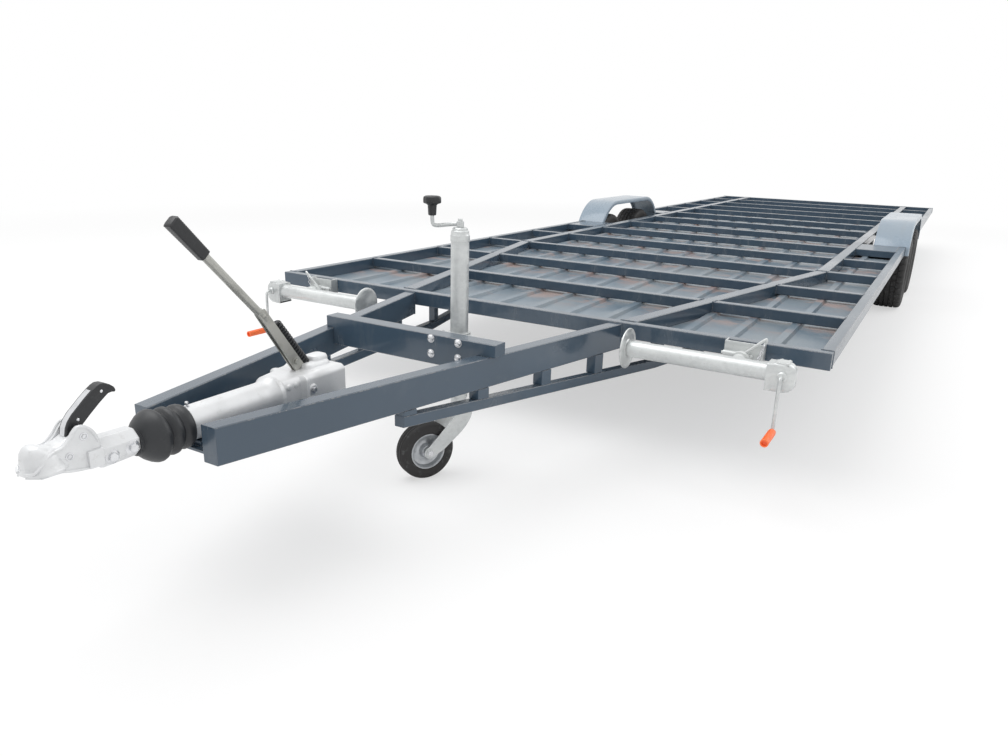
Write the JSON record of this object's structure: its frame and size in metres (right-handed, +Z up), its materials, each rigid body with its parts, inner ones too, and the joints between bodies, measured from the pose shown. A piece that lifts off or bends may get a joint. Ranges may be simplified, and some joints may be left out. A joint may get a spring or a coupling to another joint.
{
  "type": "tiny house trailer",
  "caption": "Long flat ladder-frame trailer for a tiny house, with wheel boxes on tandem axles, a braced V drawbar, overrun coupling, jockey wheel and swing-down corner steadies.",
  "frame": {"origin": "on the ground, in the middle of the trailer's overall length and width", "axes": "+X forward towards the coupling, +Y to the trailer's left, +Z up"},
  "size_m": [9.91, 2.55, 0.944],
  "materials": {
    "frame_paint": "anthracite blue powder coat",
    "floor_paint": "painted ribbed steel sheet with stains of surface rust",
    "fender_paint": "grey blue paint",
    "cast_metal": "silver coated casting",
    "bright_steel": "zinc plated steel",
    "dark_steel": "black coated spring steel",
    "rubber": "black rubber",
    "black_plastic": "black plastic",
    "orange_plastic": "orange plastic grip on a zinc plated crank rod",
    "galvanised": "hot-dip galvanised steel",
    "tyre": "black rubber with tread",
    "axle_steel": "galvanised steel",
    "rim_silver": "silver painted steel"
  },
  "bodies": {
    "frame": {"front_beam": "frame_paint", "rear_beam": "frame_paint", "side_rails": "frame_paint", "diagonal_rails": "frame_paint", "inner_rails": "frame_paint", "cross_members": "frame_paint", "outriggers": "frame_paint", "drawbar_beams": "frame_paint", "lower_chords": "frame_paint", "drawbar_posts": "frame_paint", "drawbar_cross_beam": "frame_paint", "coupling_bracket": "frame_paint", "floor_pans": "floor_paint", "fender_left": "fender_paint", "fender_right": "fender_paint", "overrun_housing": "cast_metal", "coupling_head": "cast_metal", "draw_shaft": "bright_steel", "handbrake_lever": "bright_steel", "bellows": "rubber", "coupling_handle": "black_plastic", "handbrake_grip": "black_plastic", "handbrake_spring": "dark_steel", "jockey_clamp": "galvanised", "jockey_outer_tube": "galvanised", "jockey_crank": "galvanised", "steady_bracket_left": "galvanised", "steady_bracket_right": "galvanised", "axle_front": "axle_steel", "axle_rear": "axle_steel"},
    "jockey_leg": {"jockey_inner_tube": "galvanised"},
    "jockey_caster": {"jockey_fork": "galvanised"},
    "jockey_wheel": {"jockey_rim": "galvanised", "jockey_tyre": "tyre"},
    "steady_left": {"steady_leg_left": "galvanised", "steady_foot_left": "galvanised", "steady_crank_left": "orange_plastic"},
    "steady_right": {"steady_leg_right": "galvanised", "steady_foot_right": "galvanised", "steady_crank_right": "orange_plastic"},
    "wheel_front_left": {"rim_front_left": "rim_silver", "tyre_front_left": "tyre"},
    "wheel_front_right": {"rim_front_right": "rim_silver", "tyre_front_right": "tyre"},
    "wheel_rear_left": {"rim_rear_left": "rim_silver", "tyre_rear_left": "tyre"},
    "wheel_rear_right": {"rim_rear_right": "rim_silver", "tyre_rear_right": "tyre"}
  },
  "joints": [
    {"name": "wheel_front_left_spin", "type": "hinge", "parent": "frame", "child": "wheel_front_left", "pos_m": [-0.65, 1.1775, 0.2625], "axis": [0, 1, 0], "continuous": true},
    {"name": "wheel_front_right_spin", "type": "hinge", "parent": "frame", "child": "wheel_front_right", "pos_m": [-0.65, -1.1775, 0.2625], "axis": [0, 1, 0], "continuous": true},
    {"name": "wheel_rear_left_spin", "type": "hinge", "parent": "frame", "child": "wheel_rear_left", "pos_m": [-1.36, 1.1775, 0.2625], "axis": [0, 1, 0], "continuous": true},
    {"name": "wheel_rear_right_spin", "type": "hinge", "parent": "frame", "child": "wheel_rear_right", "pos_m": [-1.36, -1.1775, 0.2625], "axis": [0, 1, 0], "continuous": true},
    {"name": "jockey_slide", "type": "slide", "parent": "frame", "child": "jockey_leg", "axis": [0, 0, -1], "range_m": [-0.04, 0.2]},
    {"name": "jockey_swivel", "type": "hinge", "parent": "jockey_leg", "child": "jockey_caster", "pos_m": [3.605, 0.15, 0.228], "axis": [0, 0, 1], "continuous": true},
    {"name": "jockey_wheel_spin", "type": "hinge", "parent": "jockey_caster", "child": "jockey_wheel", "pos_m": [3.72083, 0.09098, 0.1], "axis": [0.454, 0.891, 0], "continuous": true},
    {"name": "steady_left_swing", "type": "hinge", "parent": "frame", "child": "steady_left", "pos_m": [3.088, 0.974, 0.428], "axis": [1, 0, 0], "range_deg": [0, 90]},
    {"name": "steady_right_swing", "type": "hinge", "parent": "frame", "child": "steady_right", "pos_m": [3.088, -0.974, 0.428], "axis": [-1, 0, 0], "range_deg": [0, 90]}
  ]
}
